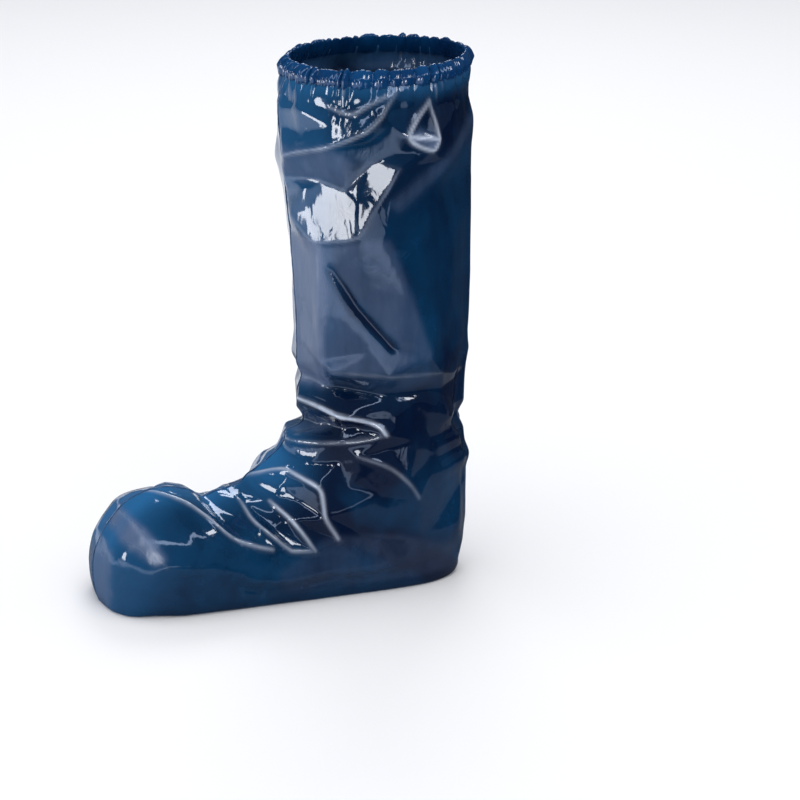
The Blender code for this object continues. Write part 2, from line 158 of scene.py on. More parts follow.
# Sections of the leg and the foot, as in the CAD source.
LegSection = namedtuple("LegSection", "name front_up back_up front back wide")
LEG = [LegSection(*row) for row in (
    ("rim",        1.000, 1.010, 0.950,  0.010, 0.92),
    ("below_rim",  0.925, 0.945, 1.005, -0.015, 1.03),
    ("calf",       0.820, 0.830, 0.985, -0.015, 1.03),
    ("upper_shin", 0.640, 0.640, 0.955, -0.010, 0.98),
    ("mid_shin",   0.440, 0.420, 0.930, -0.005, 0.93),
    ("low_shin",   0.280, 0.230, 0.915,  0.005, 0.89),
    ("ankle_top",  0.145, 0.070, 0.905,  0.010, 0.86),
)]
FootSection = namedtuple(
    "FootSection", "name top_y top_z low_y low_z wide top_round low_round belly bulge")
FOOT = [FootSection(*row) for row in (
    ("ankle",     0.470, 1.270, 0.002,  0.760, 0.96, 2.1, 2.2, 0.50, 0.000),
    ("heel_back", 0.520, 1.130, 0.000,  0.420, 0.92, 2.1, 2.3, 0.52, 0.000),
    ("heel_turn", 0.568, 1.030, 0.022,  0.060, 0.88, 2.1, 2.5, 0.55, 0.000),
    ("heel_sole", 0.612, 0.950, 0.100, -0.120, 0.88, 2.1, 2.6, 0.60, 0.000),
    ("arch",      0.655, 0.885, 0.250, -0.160, 0.89, 2.1, 2.6, 0.60, 0.000),
    ("instep",    0.700, 0.875, 0.400, -0.160, 0.92, 2.1, 2.6, 0.60, 0.000),
    ("ball_back", 0.750, 0.920, 0.540, -0.160, 0.96, 2.1, 2.6, 0.58, 0.000),
    ("ball",      0.800, 0.950, 0.670, -0.160, 1.00, 2.2, 2.6, 0.56, 0.000),
    ("toe_box",   0.850, 0.930, 0.780, -0.160, 1.00, 2.2, 2.6, 0.56, 0.004),
    ("toe_front", 0.900, 0.870, 0.865, -0.150, 0.92, 2.2, 2.4, 0.54, 0.010),
    ("toe_round", 0.942, 0.745, 0.930, -0.120, 0.76, 2.2, 2.6, 0.60, 0.014),
    ("toe_nose",  0.970, 0.610, 0.962, -0.080, 0.50, 2.2, 2.4, 0.58, 0.016),
    ("toe_tip",   0.984, 0.500, 0.980,  0.000, 0.00, 2.2, 2.2, 0.56, 0.015),
)]

# Folds that cross the centre line, seen from the side: y as a share of FOOT_LENGTH
# forward of the heel, z of BOOT_HEIGHT, rise of FOLD_RISE, wide of FOLD_HALF_WIDTH.
Fold = namedtuple("Fold", "name from_y from_z to_y to_z bow rise wide")
SHARED_FOLDS = [Fold(*row) for row in (
    ("shin_tuck",   0.560, 0.415, 0.250, 0.405, 0.02, -0.60, 1.00),
    ("ankle_tuck",  0.600, 0.318, 0.280, 0.345, 0.04, -0.90, 0.90),
    ("ankle_swell", 0.620, 0.275, 0.400, 0.300, 0.02,  0.70, 0.90),
    ("instep_tuck", 0.660, 0.235, 0.520, 0.190, 0.08, -0.50, 0.90),
    ("toe_tuck",    0.720, 0.235, 0.660, 0.130, 0.05, -0.50, 0.90),
    ("heel_tuck",  -0.050, 0.330, 0.130, 0.300, 0.00, -0.70, 1.00),
    ("heel_swell", -0.050, 0.250, 0.120, 0.225, 0.00,  0.50, 1.00),
)]

# Corners of the near side's facets, in lines seen from the side: y as a share of FOOT_LENGTH
# forward of the heel, z of BOOT_HEIGHT, and the height of the film there in millimetres. The
# corners of the line called arm are arm_1, arm_2 and so on.
NEAR_LINES = {
    "droop": [(0.425, 0.958, -4.0), (0.373, 0.948, -2.0), (0.320, 0.966, -1.0),
              (0.264, 0.984, -0.5)],
    "slant": [(0.478, 0.850, 7.0), (0.414, 0.885, 6.5), (0.341, 0.913, 6.5), (0.300, 0.945, 4.5)],
    "hem_hollow": [(0.410, 0.920, 1.5), (0.325, 0.945, 1.5)],
    "brow": [(0.470, 0.900, -1.2), (0.490, 0.955, -4.5)],
    "patch": [(0.335, 0.888, -2.5), (0.258, 0.872, -2.0), (0.275, 0.920, -1.0)],
    "spike": [(0.236, 0.902, 4.5), (0.180, 0.965, 1.0), (0.196, 0.905, -2.0), (0.156, 0.893, 4.5),
              (0.172, 0.872, 5.5)],
    "back_panel": [(0.090, 0.930, -1.5)],
    "sash": [(0.010, 0.906, 2.5), (0.120, 0.848, 3.0), (0.267, 0.774, 2.0)],
    "sash_under": [(0.030, 0.850, -2.0), (0.150, 0.795, -2.5)],
    "pane": [(0.478, 0.795, 4.5), (0.431, 0.809, -6.0), (0.381, 0.795, -2.5), (0.327, 0.850, -4.5),
             (0.252, 0.845, 3.0), (0.318, 0.762, 4.5), (0.352, 0.714, 7.0), (0.436, 0.694, 3.0),
             (0.466, 0.735, 5.0)],
    "gem": [(0.353, 0.780, 3.0)],
    "strip": [(0.430, 0.660, 2.5), (0.425, 0.550, 3.0), (0.422, 0.460, 3.0)],
    "shin": [(0.408, 0.645, -0.5), (0.352, 0.568, -2.5), (0.262, 0.490, -1.5)],
    "shin_low": [(0.385, 0.545, 1.5), (0.315, 0.485, 0.5)],
    "shin_high": [(0.330, 0.610, 1.5), (0.235, 0.515, 2.0)],
    "veil": [(0.300, 0.700, 5.0), (0.238, 0.600, 6.0), (0.175, 0.470, 5.0)],
    "calf": [(0.200, 0.690, 0.5), (0.100, 0.700, -1.0), (0.110, 0.580, 1.0), (0.050, 0.500, -1.0)],
    "roll": [(0.400, 0.438, 3.0), (0.270, 0.436, 4.0), (0.130, 0.432, 3.0)],
    "under_roll": [(0.425, 0.400, -3.5), (0.280, 0.393, -4.0), (0.110, 0.392, -3.0)],
    "ankle": [(0.450, 0.364, 3.5), (0.371, 0.353, 6.0), (0.292, 0.335, 6.0), (0.276, 0.321, 5.0),
              (0.383, 0.300, 3.5), (0.470, 0.281, 3.0)],
    "pocket": [(0.410, 0.327, -1.5), (0.335, 0.317, -1.0)],
    "below": [(0.470, 0.255, -2.0), (0.390, 0.262, -1.5), (0.262, 0.292, -0.5)],
    "heel": [(0.204, 0.377, -3.0), (0.127, 0.268, -4.0), (0.040, 0.195, -2.0)],
    "heel_ridge": [(0.105, 0.345, 3.0), (0.050, 0.270, 2.0), (0.200, 0.305, 0.6)],
    "arm": [(0.345, 0.278, 2.5), (0.285, 0.260, 3.0), (0.223, 0.226, 3.5), (0.190, 0.186, 2.0)],
    "arm_under": [(0.300, 0.200, -1.2), (0.375, 0.215, -1.5)],
    "arc": [(0.590, 0.222, 1.5), (0.498, 0.238, 3.0), (0.446, 0.219, 3.5), (0.428, 0.160, 3.0),
            (0.402, 0.118, 1.0)],
    "arc_in": [(0.540, 0.200, -1.5), (0.480, 0.185, -2.0), (0.445, 0.130, -1.5)],
    "mid_arc": [(0.560, 0.190, 1.5), (0.515, 0.158, 2.0), (0.462, 0.098, 1.0)],
    "low_arc": [(0.630, 0.190, 1.5), (0.592, 0.146, 2.0), (0.530, 0.105, 1.5)],
    "low_arc_in": [(0.560, 0.145, -1.5)],
    "toe_slant": [(0.860, 0.206, 1.5), (0.768, 0.192, 3.5), (0.714, 0.160, 4.0),
                  (0.654, 0.128, 3.5), (0.575, 0.110, 1.5)],
    "toe_above": [(0.700, 0.196, -0.5), (0.650, 0.170, -0.8)],
    "toe_below": [(0.780, 0.135, 0.0), (0.690, 0.080, 0.0)],
    "toe_soft": [(0.935, 0.180, 0.3), (0.905, 0.160, 0.6), (0.855, 0.105, 0.4)],
    "toe_front": [(0.950, 0.120, -0.5), (0.900, 0.070, -0.5)],
    "lower": [(0.620, 0.055, 1.0), (0.430, 0.055, 1.5), (0.220, 0.055, 1.5)],
    "lower_dark": [(0.350, 0.130, -0.8), (0.180, 0.100, -1.2)],
    "lower_back": [(0.060, 0.110, 1.0)],
}
Corner = namedtuple("Corner", "name y z height")
NEAR_CORNERS = [Corner(f"{line}_{number}", *place) for line, places in NEAR_LINES.items()
                for number, place in enumerate(places, 1)]

# Creases of the near side: corners that stay joined by an edge. pinch is the height in millimetres
# of the thin crest that the film is pinched into along it, below zero for a groove, and the next
# column is how far the film is painted pale along it: partly stress whitening from the sharp bend,
# partly a painted highlight line.
Crease = namedtuple("Crease", "pinch pale corners")
NEAR_CREASES = [Crease(pinch, pale, names.split()) for pinch, pale, names in (
    ( 1.4, 0.45, "droop_1 droop_2 droop_3 droop_4"),
    ( 1.6, 0.50, "slant_1 slant_2 slant_3 slant_4 droop_4"),
    ( 1.4, 1.00, "spike_2 spike_1 spike_5 spike_4 spike_2"),
    ( 1.4, 1.30, "spike_1 spike_4"),
    ( 0.0, 0.00, "sash_1 sash_2 sash_3"),
    ( 0.0, 0.10, "pane_1 pane_2 pane_3 pane_4 pane_5"),
    ( 0.5, 0.15, "pane_5 pane_6 pane_7 pane_8 pane_9"),
    ( 0.4, 0.00, "pane_3 gem_1 pane_7"),
    ( 0.3, 0.12, "strip_1 strip_2 strip_3 roll_1"),
    (-2.6, 0.00, "shin_1 shin_2 shin_3"),
    ( 0.0, 0.00, "veil_1 veil_2 veil_3"),
    ( 0.3, 0.15, "roll_1 roll_2 roll_3"),
    ( 0.0, 0.00, "under_roll_1 under_roll_2 under_roll_3"),
    ( 2.2, 1.70, "ankle_1 ankle_2 ankle_3 ankle_4"),
    ( 1.2, 0.25, "ankle_4 ankle_5 ankle_6"),
    ( 0.0, 0.00, "heel_1 heel_2 heel_3"),
    ( 0.4, 0.00, "heel_ridge_1 heel_ridge_2"),
    ( 1.3, 0.30, "arm_1 arm_2 arm_3 arm_4"),
    ( 2.0, 1.00, "arc_1 arc_2 arc_3 arc_4 arc_5"),
    ( 1.8, 0.95, "mid_arc_1 mid_arc_2 mid_arc_3"),
    ( 1.7, 0.55, "low_arc_1 low_arc_2 low_arc_3 mid_arc_3"),
    ( 1.6, 0.75, "toe_slant_1 toe_slant_2 toe_slant_3 toe_slant_4 toe_slant_5"),
    ( 0.0, 0.15, "toe_soft_1 toe_soft_2 toe_soft_3"),
)]

# Places of the near side painted lighter with a lavender sheen, painted reflection and glow, whose
# gloss is also blurred, or below zero painted darker as shade along a crease: outlines seen from
# the side, as shares like the corners', and how much.
Pocket = namedtuple("Pocket", "name haze outline")
POCKETS = [Pocket(*row) for row in (
    ("strip", 0.95, ((0.560, 0.700), (0.423, 0.700), (0.414, 0.580), (0.411, 0.401),
                     (0.560, 0.377))),
    ("veil", 0.32, ((0.416, 0.705), (0.279, 0.705), (0.165, 0.470), (0.258, 0.445),
                    (0.403, 0.435), (0.419, 0.580))),
    # This pocket, below zero, paints shade along a dark crease.
    ("crease", -1.20, ((0.422, 0.643), (0.408, 0.646), (0.348, 0.570), (0.251, 0.491),
                       (0.268, 0.480), (0.365, 0.559))),
    ("brow", 0.50, ((0.560, 0.844), (0.413, 0.884), (0.367, 0.850), (0.382, 0.801),
                    (0.431, 0.809), (0.560, 0.796))),
    ("wedge", 0.85, ((0.236, 0.902), (0.205, 0.915), (0.156, 0.893), (0.172, 0.872))),
    ("sash", 0.20, ((0.008, 0.919), (0.000, 0.895), (0.254, 0.758), (0.283, 0.778))),
    ("roll", 0.08, ((0.413, 0.436), (0.162, 0.440), (0.133, 0.408), (0.411, 0.405))),
    ("ankle", 0.30, ((0.520, 0.345), (0.381, 0.337), (0.454, 0.297), (0.540, 0.291))),
    ("toe", 0.75, ((0.960, 0.168), (0.925, 0.186), (0.888, 0.166), (0.855, 0.118),
                   (0.880, 0.105), (0.950, 0.142))),
    ("rim", 0.60, ((1.030, -0.010), (0.974, -0.010), (0.984, 0.060), (0.972, 0.130),
                   (1.030, 0.150))),
    ("foot", 0.12, ((0.560, 0.065), (0.417, 0.124), (0.235, 0.113), (0.049, 0.059),
                    (0.038, 0.017), (0.540, 0.022))),
)]


def smoothstep(value):
    share = np.clip(value, 0.0, 1.0)
    return share * share * (3 - 2 * share)


def rises(value, start, over):
    """From 0 at start smoothly to 1 where value is that much further on."""
    return smoothstep((value - start) / over)


def hump(value, middle, width):
    """1 in the middle, fading on both sides of it."""
    return np.exp(-((value - middle) / width) ** 2)


def run_along(points):
    """How far along a polyline each of its points lies."""
    steps = np.linalg.norm(np.diff(points, axis=0), axis=1)
    return np.concatenate([[0.0], np.cumsum(steps)])


def side_shares(points):
    """Places seen from the side: forward of the heel and up, as shares of the foot and boot."""
    return (HEEL_Y - points[..., 1]) / FOOT_LENGTH, points[..., 2] / BOOT_HEIGHT


# The smooth shell, lofted through the sections.
def section_rows():
    leg_height = BOOT_HEIGHT - INSTEP_HEIGHT
    rows = []
    for s in LEG:
        rows.append((HEEL_Y - LEG_DEPTH * s.front, INSTEP_HEIGHT + leg_height * s.front_up,
                     HEEL_Y - LEG_DEPTH * s.back, INSTEP_HEIGHT + leg_height * s.back_up,
                     LEG_WIDTH / 2 * s.wide, LEG_ROUND, LEG_ROUND, LEG_BELLY, 0.0))
    for s in FOOT:
        rows.append((HEEL_Y - FOOT_LENGTH * s.top_y, INSTEP_HEIGHT * s.top_z,
                     HEEL_Y - FOOT_LENGTH * s.low_y, SOLE_Z + INSTEP_HEIGHT * s.low_z,
                     FOOT_WIDTH / 2 * s.wide, s.top_round, s.low_round, s.belly,
                     FOOT_LENGTH * s.bulge))
    return np.array(rows)


def smooth_columns(at, values, stations):
    """Monotone cubic interpolation of each column, so that no section overshoots."""
    step = np.diff(at)
    rise = np.diff(values, axis=0) / step[:, None]
    slope = np.zeros_like(values)
    slope[0] = rise[0]
    slope[-1] = rise[-1]
    same_way = rise[:-1] * rise[1:] > 0
    before = (2 * step[1:] + step[:-1])[:, None]
    after = (step[1:] + 2 * step[:-1])[:, None]
    rise_before = np.where(same_way, rise[:-1], 1.0)
    rise_after = np.where(same_way, rise[1:], 1.0)
    mean = (before + after) / (before / rise_before + after / rise_after)
    slope[1:-1] = np.where(same_way, mean, 0.0)
    k = np.clip(np.searchsorted(at, stations, side="right") - 1, 0, len(step) - 1)
    span = step[k][:, None]
    t = (stations - at[k])[:, None] / span
    return (values[k] * (1 + 2 * t) * (1 - t) ** 2 + slope[k] * span * t * (1 - t) ** 2
            + values[k + 1] * t * t * (3 - 2 * t) + slope[k + 1] * span * t * t * (t - 1))


def spaced(points, count):
    """count points at even distances along a polyline."""
    distance = run_along(points)
    at = np.linspace(0.0, distance[-1], count)
    return np.stack([np.interp(at, distance, points[:, i]) for i in range(3)], axis=1)


def half_section(row, count):
    """Half a section, from the centre plane in front round x > 0 to the centre plane behind."""
    front_y, front_z, back_y, back_z, half_width, upper_round, lower_round, belly, bulge = row
    angle = np.linspace(0.0, math.pi, ROUND_SAMPLES)
    upper = angle <= math.pi / 2
    power = 2 / np.where(upper, upper_round, lower_round)
    cosine = np.abs(np.cos(angle)) ** power
    down = np.where(upper, belly * (1 - cosine), belly + (1 - belly) * cosine)
    swell = bulge * (4 * down * (1 - down)) ** BULGE_POWER
    x = half_width * np.abs(np.sin(angle)) ** power
    y = front_y + (back_y - front_y) * down - swell
    z = np.maximum(front_z + (back_z - front_z) * down, SOLE_Z)
    return spaced(np.stack([x, y, z], axis=1), count)


def half_shell():
    """The smooth outer face at x >= 0: rings from the rim to the toe, points front to back."""
    rows = section_rows()
    front_step = np.linalg.norm(np.diff(rows[:, 0:2], axis=0), axis=1)
    back_step = np.linalg.norm(np.diff(rows[:, 2:4], axis=0), axis=1)
    width_step = np.abs(np.diff(rows[:, 4]))
    step = np.maximum(np.maximum(front_step, back_step), width_step)
    at = np.concatenate([[0.0], np.cumsum(step)])
    sections = smooth_columns(at, rows, np.linspace(0.0, at[-1], RINGS))
    return np.stack([half_section(row, SIDE_SEGMENTS + 1) for row in sections])


def grid_normals(shell):
    """Outward normals, which stay in the centre plane where the shell meets it."""
    normals = np.cross(np.gradient(shell, axis=0), np.gradient(shell, axis=1))
    if normals[RINGS // 4, SIDE_SEGMENTS // 2, 0] < 0:
        normals = -normals
    normals[:, 0, 0] = 0.0
    normals[:, -1, 0] = 0.0
    normals[-1, :, 0] = 0.0
    for end, beside in ((0, 1), (-1, -2)):
        normals[-1, end] = normals[-1, beside] + normals[-2, end]
    return normals / np.linalg.norm(normals, axis=2)[..., None]


# The folds, facets and gathers of the film, as heights along the shell's normals.
def fold_height(fold, y, z):
    """How high one fold stands at places seen from the side, faded at its ends."""
    start = np.array([HEEL_Y - FOOT_LENGTH * fold.from_y, BOOT_HEIGHT * fold.from_z])
    end = np.array([HEEL_Y - FOOT_LENGTH * fold.to_y, BOOT_HEIGHT * fold.to_z])
    length = np.linalg.norm(end - start)
    along = (end - start) / length
    share = ((y - start[0]) * along[0] + (z - start[1]) * along[1]) / length
    aside = (y - start[0]) * along[1] - (z - start[1]) * along[0]
    held = np.clip(share, 0.0, 1.0)
    aside = aside - fold.bow * length * 4 * held * (1 - held)
    distance = np.hypot(aside, (share - held) * length) / (FOLD_HALF_WIDTH * fold.wide)
    swell = np.sin(math.pi * held) ** FOLD_TAPER_POWER
    taper = FOLD_END_SHARE + (1 - FOLD_END_SHARE) * swell
    return FOLD_RISE * fold.rise * taper * (1 - smoothstep(distance))


def faceted(places, edges, values, around, along):
    """Values at a grid's places, flat across each facet between the corners."""
    result = delaunay_2d_cdt([Vector(place) for place in places], edges, [], 0, MERGED_WITHIN)
    points = np.array([tuple(v) for v in result[0]])
    corner_values = np.stack([values[origin[0]] for origin in result[3]])
    field = np.full((*around.shape, values.shape[1]), np.nan)
    for face in result[2]:
        a, b, c = points[list(face)]
        low = np.minimum(np.minimum(a, b), c) - BOX_SLACK
        high = np.maximum(np.maximum(a, b), c) + BOX_SLACK
        near = ((around >= low[0]) & (around <= high[0])
                & (along >= low[1]) & (along <= high[1]))
        cross = (b[0] - a[0]) * (c[1] - a[1]) - (c[0] - a[0]) * (b[1] - a[1])
        if abs(cross) < SMALLEST_FACET or not near.any():
            continue
        across = around[near] - a[0]
        down = along[near] - a[1]
        v = (across * (c[1] - a[1]) - (c[0] - a[0]) * down) / cross
        w = ((b[0] - a[0]) * down - across * (b[1] - a[1])) / cross
        inside = (v >= -EDGE_SLACK) & (w >= -EDGE_SLACK) & (v + w <= 1 + EDGE_SLACK)
        first, second, third = corner_values[list(face)]
        mixed = first + v[:, None] * (second - first) + w[:, None] * (third - first)
        kept = field[near]
        kept[inside] = mixed[inside]
        field[near] = kept
    return field


class Chart:
    """The half shell laid out flat: how far round and how far along each place lies."""

    def __init__(self, shell):
        self.shell = shell
        self.normals = grid_normals(shell)
        step = np.linalg.norm(np.diff(shell, axis=1), axis=2)
        self.around = np.concatenate([np.zeros((RINGS, 1)), np.cumsum(step, axis=1)], axis=1)
        along = run_along(shell[:, SIDE_SEGMENTS // 2])
        self.along = np.repeat(along[:, None], SIDE_SEGMENTS + 1, axis=1)

    def index(self, y, z):
        """The grid place that lies nearest to (y, z) when it is seen from the side."""
        away = (self.shell[..., 1] - y) ** 2 + (self.shell[..., 2] - z) ** 2
        return np.unravel_index(np.argmin(away), away.shape)

    def firmness(self):
        """How flat the facets may be: the stuffed toe keeps its roundness."""
        forward, _ = side_shares(self.shell)
        return 1 - (1 - TOE_FLATNESS) * rises(forward, 0.62, 0.12)

    def facets(self, at, heights, edges, flatness):
        """Heights that make flat facets between corners at the grid places in at."""
        rows = np.array([i for i, j in at])
        columns = np.array([j for i, j in at])
        corner_points = self.shell[rows, columns]
        values = np.concatenate([corner_points, np.array(heights)[:, None]], axis=1)
        places = [(float(self.around[i, j]), float(self.along[i, j])) for i, j in at]
        field = faceted(places, edges, values, self.around, self.along)
        bare = np.isnan(field[..., 3])
        field[bare] = np.concatenate([self.shell[bare], np.zeros((bare.sum(), 1))], axis=1)
        chord = ((field[..., :3] - self.shell) * self.normals).sum(axis=2)
        chord = np.clip(chord, -MOST_FLATTENED, MOST_FLATTENED)
        return flatness * self.firmness() * chord + field[..., 3]

    def line(self, ends):
        """Points on the shell along a smooth run of the chart through grid places."""
        ends = np.array(ends, dtype=float)
        step = np.maximum(np.linalg.norm(np.diff(ends, axis=0), axis=1), 1.0)
        run = np.concatenate([[0.0], np.cumsum(step)])
        places = smooth_columns(run, ends, np.linspace(0.0, run[-1], int(3 * run[-1])))
        i = np.clip(places[:, 0].astype(int), 0, RINGS - 2)
        j = np.clip(places[:, 1].astype(int), 0, SIDE_SEGMENTS - 1)
        down = (places[:, 0] - i)[:, None]
        across = (places[:, 1] - j)[:, None]
        upper = self.shell[i, j] * (1 - across) + self.shell[i, j + 1] * across
        lower = self.shell[i + 1, j] * (1 - across) + self.shell[i + 1, j + 1] * across
        return upper * (1 - down) + lower * down


def corner_place(corner):
    return HEEL_Y - FOOT_LENGTH * corner.y, BOOT_HEIGHT * corner.z


def border_places(chart, seed, spacing):
    """Corners along the centre line and beside it, which keep the outline where it is."""
    rng = np.random.default_rng(seed)
    at = []
    for column_share in BORDER_SHARES:
        on_centre = column_share in (0.0, 1.0)
        column = round(column_share * SIDE_SEGMENTS)
        run = run_along(chart.shell[:, column])
        step = spacing * (0.5 if on_centre else 1.0)
        for distance in np.arange(0.0, run[-1], step):
            shift = 0.0 if on_centre else rng.uniform(-BORDER_SCATTER, BORDER_SCATTER) * step
            row = int(np.clip(np.searchsorted(run, distance + shift), 0, RINGS - 1))
            at.append((row, column))
    for column in range(0, SIDE_SEGMENTS + 1, SIDE_SEGMENTS // 10):
        at.append((0, column))
        at.append((RINGS - 1, column))
    return list(dict.fromkeys(at))


def near_side_facets(chart):
    """The near side's facets, and the thin crests along its creases and the pale lines there,
    partly stress whitening and partly painted highlight.
    """
    at = [chart.index(*corner_place(corner)) for corner in NEAR_CORNERS]
    heights = [corner.height / 1000 for corner in NEAR_CORNERS]
    index = {corner.name: i for i, corner in enumerate(NEAR_CORNERS)}
    edges = []
    for crease in NEAR_CREASES:
        for a, b in zip(crease.corners, crease.corners[1:]):
            edges.append((index[a], index[b]))
    taken = np.array(at)
    for place in border_places(chart, NEAR_BORDER_SEED, NEAR_BORDER_SPACING):
        if np.abs(taken - np.array(place)).sum(axis=1).min() > BORDER_CLEARANCE:
            at.append(place)
            heights.append(0.0)
    facets = chart.facets(at, heights, edges, NEAR_FLATNESS)
    crests = np.zeros_like(facets)
    pale = np.zeros_like(facets)
    for crease in NEAR_CREASES:
        if crease.pinch == 0 and crease.pale == 0:
            continue
        distance, taper = along_crease(chart, [at[index[name]] for name in crease.corners])
        crests += crease.pinch / 1000 * taper * np.exp(-((distance / PINCH_HALF_WIDTH) ** 2))
        line = crease.pale * taper * np.exp(-((distance / PALE_HALF_WIDTH) ** 2))
        pale = np.maximum(pale, line)
    return facets, crests, pale


def along_crease(chart, ends):
    """How far each place lies from a crease, and the taper of the crease towards its ends."""
    points = chart.line(ends)
    tree = KDTree(len(points))
    for i, point in enumerate(points):
        tree.insert(point, i)
    tree.balance()
    reach = 3 * PINCH_HALF_WIDTH
    low = points.min(axis=0) - reach
    high = points.max(axis=0) + reach
    close = ((chart.shell > low) & (chart.shell < high)).all(axis=2)
    distances = np.full(close.shape, np.inf)
    tapers = np.zeros(close.shape)
    for i, j in np.argwhere(close):
        _, nearest, distance = tree.find(chart.shell[i, j])
        if distance < reach:
            distances[i, j] = distance
            share = (nearest + 0.5) / len(points)
            swell = math.sin(math.pi * share) ** CREASE_TAPER_POWER
            tapers[i, j] = CREASE_END_SHARE + (1 - CREASE_END_SHARE) * swell
    return distances, tapers


def softened(field, times):
    """A height field with its sharpest edges rounded, as thick film rounds them."""
    for _ in range(times):
        padded = np.pad(field, 1, mode="edge")
        field = (4 * field + padded[:-2, 1:-1] + padded[2:, 1:-1]
                 + padded[1:-1, :-2] + padded[1:-1, 2:]) / 8
    return field


def crumple(chart, seed, spacing, rise, flatness):
    """Facets between corners scattered over the whole half shell."""
    rng = np.random.default_rng(seed)
    at = border_places(chart, seed + BORDER_SEEDS_FROM, max(spacing, CLOSEST_BORDER))
    heights = [0.0] * len(at)
    for a in np.arange(spacing / 2, chart.around.max(), spacing):
        for b in np.arange(spacing / 2, chart.along.max(), spacing):
            shift = rng.uniform(-FACET_SCATTER, FACET_SCATTER, 2) * spacing
            height = rng.uniform(-1, 1) * rise
            row = int(np.argmin(np.abs(chart.along[:, 0] - b - shift[1])))
            column = int(np.argmin(np.abs(chart.around[row] - a - shift[0])))
            if 4 < column < SIDE_SEGMENTS - 4 and 3 < row < RINGS - 3:
                at.append((row, column))
                heights.append(height)
    both = dict(zip(at, heights))
    calm = restless(chart.shell[..., 1], chart.shell[..., 2])
    return chart.facets(list(both), list(both.values()), [], flatness) * calm


def restless(y, z):
    """How strongly the film is crumpled: most at the ankle and instep, least on the toe."""
    ankle = hump(z, BOOT_HEIGHT * 0.30, BOOT_HEIGHT * 0.17)
    instep = hump(y, HEEL_Y - FOOT_LENGTH * 0.52, FOOT_LENGTH * 0.12) * (z < 0.25)
    top = hump(z, BOOT_HEIGHT * 0.93, BOOT_HEIGHT * 0.10)
    return 0.35 + 0.65 * np.clip(ankle + 0.8 * instep + 0.6 * top, 0, 1)


def gather_lobes(round_share, seed=11, count=42):
    """Uneven lobes round the rim, pinched between them: their height and their reach down."""
    rng = np.random.default_rng(seed)
    widths = rng.uniform(0.35, 1.9, count)
    ends = np.concatenate([[0.0], np.cumsum(widths)]) / widths.sum()
    strength = rng.uniform(0.45, 1.0, count)
    reach = rng.uniform(0.3, 0.7, count)
    k = np.clip(np.searchsorted(ends, round_share % 1.0, side="right") - 1, 0, count - 1)
    local = (round_share % 1.0 - ends[k]) / (ends[k + 1] - ends[k])
    lobe = np.sin(math.pi * local) ** LOBE_POWER * strength[k]
    return lobe, reach[k]


def seam_ripple(chart):
    """Small puckers along the weld, the same on both sides of it."""
    ripple = np.zeros_like(chart.around)
    width = chart.around[:, -1:]
    for seed, column, away in ((31, 0, chart.around), (32, -1, width - chart.around)):
        rng = np.random.default_rng(seed)
        edge = chart.shell[:, column]
        knots = np.cumsum(rng.uniform(0.009, 0.034, SEAM_PUCKERS))
        heights = rng.uniform(-1.0, 1.0, SEAM_PUCKERS) * SEAM_RIPPLE
        line = np.interp(run_along(edge), knots, heights)
        line = np.pad(line, PUCKER_WINDOW // 2, mode="edge")
        line = np.convolve(line, np.ones(PUCKER_WINDOW) / PUCKER_WINDOW, mode="valid")
        calm = restless(edge[:, 1], edge[:, 2])
        ripple += (line * calm)[:, None] * (1 - smoothstep(away / SEAM_REACH))
    return ripple


def own_height(chart, side):
    """One side's facets and crumples, and its crests."""
    if side > 0:
        facets, crests, _ = near_side_facets(chart)
        behind = rises(chart.around / chart.around[:, -1:], 0.76, 0.12)
        own = facets + crumple(chart, seed=5, spacing=0.022, rise=0.0006, flatness=0.3)
        back = crumple(chart, seed=21, spacing=0.045, rise=0.0042, flatness=0.6)
        return own + back * behind * BACK_CRUMPLE, crests
    leg = rises(chart.shell[..., 2], BOOT_HEIGHT * 0.40, BOOT_HEIGHT * 0.15)
    wide = crumple(chart, seed=9, spacing=0.048, rise=0.0042, flatness=FAR_FLATNESS)
    fine = crumple(chart, seed=13, spacing=0.022, rise=0.0016, flatness=0.5)
    return wide * (FAR_CRUMPLE + FAR_LEG_CRUMPLE * leg) + fine, 0.0


def film_height(shell, side):
    """How far one side's film stands off the smooth shell."""
    chart = Chart(shell)
    x = shell[..., 0]
    y = shell[..., 1]
    z = shell[..., 2]
    own, crests = own_height(chart, side)
    crisp = softened(own, CRISP_PASSES)
    soft = softened(crisp, SOFT_PASSES)
    lively = restless(y, z)
    own = crisp * lively + soft * (1 - lively) + crests
    own = own * smoothstep(x / CENTRE_FADE) + seam_ripple(chart)
    side_share = np.linspace(0.0, 0.5, SIDE_SEGMENTS + 1)[None, :]
    lobe, reach = gather_lobes(side_share if side > 0 else 1.0 - side_share)
    below = (RIM_HELD_Z + HELD_ABOVE - z) / (GATHER_REACH * reach)
    fall = np.where(below > 0, np.clip(1 - below, 0, 1) ** GATHER_FALL_POWER, 1.0)
    gathers = GATHER_DEPTH * (lobe - GATHER_LEVEL) * fall
    height = sum(fold_height(fold, y, z) for fold in SHARED_FOLDS) + own
    height *= smoothstep((RIM_HELD_Z + HELD_ABOVE - z) / RIM_FADE)
    return (height + gathers) * smoothstep((z - SOLE_Z) / SOLE_FADE)


@lru_cache(maxsize=None)
def film_shell(side):
    """One side's film at x >= 0, still reaching the centre plane."""
    shell = half_shell()
    film = shell + grid_normals(shell) * film_height(shell, side)[..., None]
    film[..., 2] = np.maximum(film[..., 2], SOLE_Z)
    return film


